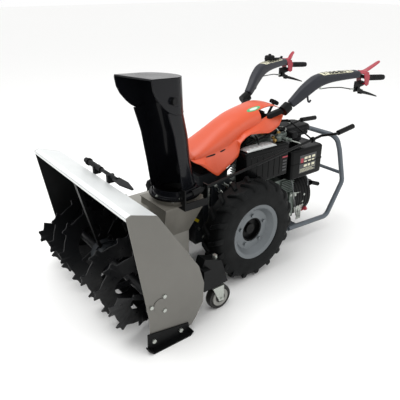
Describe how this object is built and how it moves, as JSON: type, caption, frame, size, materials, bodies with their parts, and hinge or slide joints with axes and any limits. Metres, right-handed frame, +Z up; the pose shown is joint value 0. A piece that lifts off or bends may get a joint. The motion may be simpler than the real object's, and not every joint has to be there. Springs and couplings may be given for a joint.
{
  "type": "snow blower",
  "caption": "Walk-behind two-stage snow blower with serrated auger, swivelling chute, orange hood, diesel engine, lugged wheels and long handlebars.",
  "frame": {"origin": "on the ground under the middle of the machine's bounding box", "axes": "+Z up, -Y forward towards the auger, +X to the machine's left"},
  "size_m": [0.964, 1.7714, 1.04],
  "materials": {
    "zinc_sheet": "galvanised sheet, satin",
    "black_sheet": "black gloss powder coat",
    "black_steel": "black enamel",
    "zinc_fastener": "zinc plated",
    "steel": "machined",
    "casting": "dark painted die casting",
    "orange_plastic": "moulded orange",
    "black_plastic": "moulded black",
    "grip_rubber": "moulded rubber",
    "tyre_rubber": "agricultural tread",
    "rim_silver": "silver grey enamel",
    "guard_grey": "grey enamel tube",
    "red_plastic": "moulded dark red",
    "engine_metal": "bare die casting",
    "tank_black": "black moulded",
    "chute_plastic": "black gloss moulding",
    "caster_tread": "solid tyre"
  },
  "bodies": {
    "root": {"side_plates": "zinc_sheet", "roof_panel": "zinc_sheet", "back_shell": "black_sheet", "impeller_drum": "zinc_sheet", "outlet_neck": "zinc_sheet", "chute_ring": "black_steel", "skid_shoes": "black_steel", "scraper_blade": "black_steel", "housing_bolts": "zinc_fastener", "shaft_bearings": "casting", "centre_strut": "black_steel", "auger_gearbox": "casting", "worm_bracket": "black_steel", "crank_stay": "black_steel", "clean_out_tool": "black_plastic", "caster_brackets": "black_steel", "gearbox_casting": "casting", "axle_housing": "casting", "hood": "orange_plastic", "handle_column": "black_steel", "crankcase": "engine_metal", "cylinder_head": "engine_metal", "recoil_cover": "black_sheet", "fuel_tank": "tank_black", "battery_box": "black_plastic", "air_cleaner": "black_plastic", "muffler": "steel", "bumper": "guard_grey"},
    "wheel_left": {"wheel_hub_left": "black_steel", "wheel_rim_left": "rim_silver", "tyre_left": "tyre_rubber"},
    "wheel_right": {"wheel_hub_right": "black_steel", "wheel_rim_right": "rim_silver", "tyre_right": "tyre_rubber"},
    "auger": {"auger_flights": "black_steel", "auger_shaft": "black_steel"},
    "impeller_rotor": {"impeller": "black_steel", "impeller_shaft": "steel"},
    "chute_body": {"chute": "chute_plastic"},
    "deflector_body": {"deflector": "chute_plastic"},
    "deflector_knob_body": {"deflector_knob": "black_plastic"},
    "chute_crank_body": {"chute_crank": "black_steel"},
    "caster_fork_left_body": {"caster_fork_left": "zinc_fastener"},
    "caster_fork_right_body": {"caster_fork_right": "zinc_fastener"},
    "caster_wheel_left_body": {"caster_wheel_left": "caster_tread"},
    "caster_wheel_right_body": {"caster_wheel_right": "caster_tread"},
    "handlebar": {"handle_tubes": "black_steel", "arm_covers": "black_plastic", "grips": "grip_rubber", "lever_brackets": "black_steel", "brake_cables": "black_plastic"},
    "red_lever_left_body": {"red_lever_left": "red_plastic"},
    "red_lever_right_body": {"red_lever_right": "red_plastic"},
    "brake_lever_left_body": {"brake_lever_left": "black_steel"},
    "brake_lever_right_body": {"brake_lever_right": "black_steel"},
    "throttle_body": {"throttle_lever": "black_plastic"},
    "shift_body": {"shift_rod": "black_steel"},
    "starter_handle": {"pull_handle": "black_plastic"},
    "fuel_cap_body": {"fuel_cap": "black_plastic"},
    "flywheel_body": {"flywheel": "steel"}
  },
  "joints": [
    {"name": "wheel_left_spin", "type": "hinge", "parent": "root", "child": "wheel_left", "pos_m": [0, -0.0603, 0.2585], "axis": [1, 0, 0], "continuous": true},
    {"name": "wheel_right_spin", "type": "hinge", "parent": "root", "child": "wheel_right", "pos_m": [0, -0.0603, 0.2585], "axis": [1, 0, 0], "continuous": true},
    {"name": "auger_spin", "type": "hinge", "parent": "root", "child": "auger", "pos_m": [0, -0.7003, 0.202], "axis": [1, 0, 0], "continuous": true},
    {"name": "impeller_spin", "type": "hinge", "parent": "root", "child": "impeller_rotor", "pos_m": [0, -0.4303, 0.237], "axis": [0, 1, 0], "continuous": true},
    {"name": "chute_turn", "type": "hinge", "parent": "root", "child": "chute_body", "pos_m": [0.122, -0.3943, 0.5], "axis": [0, 0, 1], "range_deg": [-115, 80]},
    {"name": "chute_crank_turn", "type": "hinge", "parent": "root", "child": "chute_crank_body", "pos_m": [0.256, -0.3663, 0.534], "axis": [0, 0.9924, 0.1231], "range_deg": [-1440, 1080]},
    {"name": "deflector_tilt", "type": "hinge", "parent": "chute_body", "child": "deflector_body", "pos_m": [0.1293, -0.41716, 0.905], "axis": [0.9527, 0.304, 0], "range_deg": [0, 35]},
    {"name": "deflector_knob_turn", "type": "hinge", "parent": "deflector_body", "child": "deflector_knob_body", "pos_m": [0.24933, -0.47753, 0.94], "axis": [0.9527, 0.304, 0], "continuous": true},
    {"name": "caster_swivel_left", "type": "hinge", "parent": "root", "child": "caster_fork_left_body", "pos_m": [0.395, -0.3783, 0.12], "axis": [0, 0, 1], "continuous": true},
    {"name": "caster_swivel_right", "type": "hinge", "parent": "root", "child": "caster_fork_right_body", "pos_m": [-0.395, -0.3783, 0.12], "axis": [0, 0, 1], "continuous": true},
    {"name": "caster_roll_left", "type": "hinge", "parent": "caster_fork_left_body", "child": "caster_wheel_left_body", "pos_m": [0.395, -0.3563, 0.06], "axis": [1, 0, 0], "continuous": true},
    {"name": "caster_roll_right", "type": "hinge", "parent": "caster_fork_right_body", "child": "caster_wheel_right_body", "pos_m": [-0.395, -0.3563, 0.06], "axis": [1, 0, 0], "continuous": true},
    {"name": "handlebar_height", "type": "hinge", "parent": "root", "child": "handlebar", "pos_m": [0, 0.2017, 0.738], "axis": [1, 0, 0], "range_deg": [-10, 14]},
    {"name": "red_lever_left_press", "type": "hinge", "parent": "handlebar", "child": "red_lever_left_body", "pos_m": [0.269, 0.7117, 0.872], "axis": [1, 0, 0], "range_deg": [-20, 0]},
    {"name": "red_lever_right_press", "type": "hinge", "parent": "handlebar", "child": "red_lever_right_body", "pos_m": [-0.269, 0.7117, 0.872], "axis": [1, 0, 0], "range_deg": [-20, 0]},
    {"name": "brake_left_squeeze", "type": "hinge", "parent": "handlebar", "child": "brake_lever_left_body", "pos_m": [0.269, 0.6697, 0.85], "axis": [1, 0, 0], "range_deg": [0, 18]},
    {"name": "brake_right_squeeze", "type": "hinge", "parent": "handlebar", "child": "brake_lever_right_body", "pos_m": [-0.269, 0.6697, 0.85], "axis": [1, 0, 0], "range_deg": [0, 18]},
    {"name": "throttle_turn", "type": "hinge", "parent": "handlebar", "child": "throttle_body", "pos_m": [-0.236, 0.5797, 0.95], "axis": [0, 0, 1], "range_deg": [-25, 35]},
    {"name": "shift_rod_slide", "type": "slide", "parent": "root", "child": "shift_body", "axis": [0, 0.9871, 0.1601], "range_m": [-0.03, 0.03]},
    {"name": "starter_pull", "type": "slide", "parent": "root", "child": "starter_handle", "axis": [1, 0, 0], "range_m": [0, 0.12]},
    {"name": "fuel_cap_unscrew", "type": "hinge", "parent": "root", "child": "fuel_cap_body", "pos_m": [0.06, 0.4597, 0.575], "axis": [0, 0, 1], "range_deg": [0, 120]},
    {"name": "flywheel_spin", "type": "hinge", "parent": "root", "child": "flywheel_body", "pos_m": [0, 0.4697, 0.226], "axis": [0, 1, 0], "continuous": true}
  ],
  "couplings": [
    {"joint": "impeller_spin", "follows": "auger_spin", "ratio": 10},
    {"joint": "chute_crank_turn", "follows": "chute_turn", "ratio": 12}
  ]
}
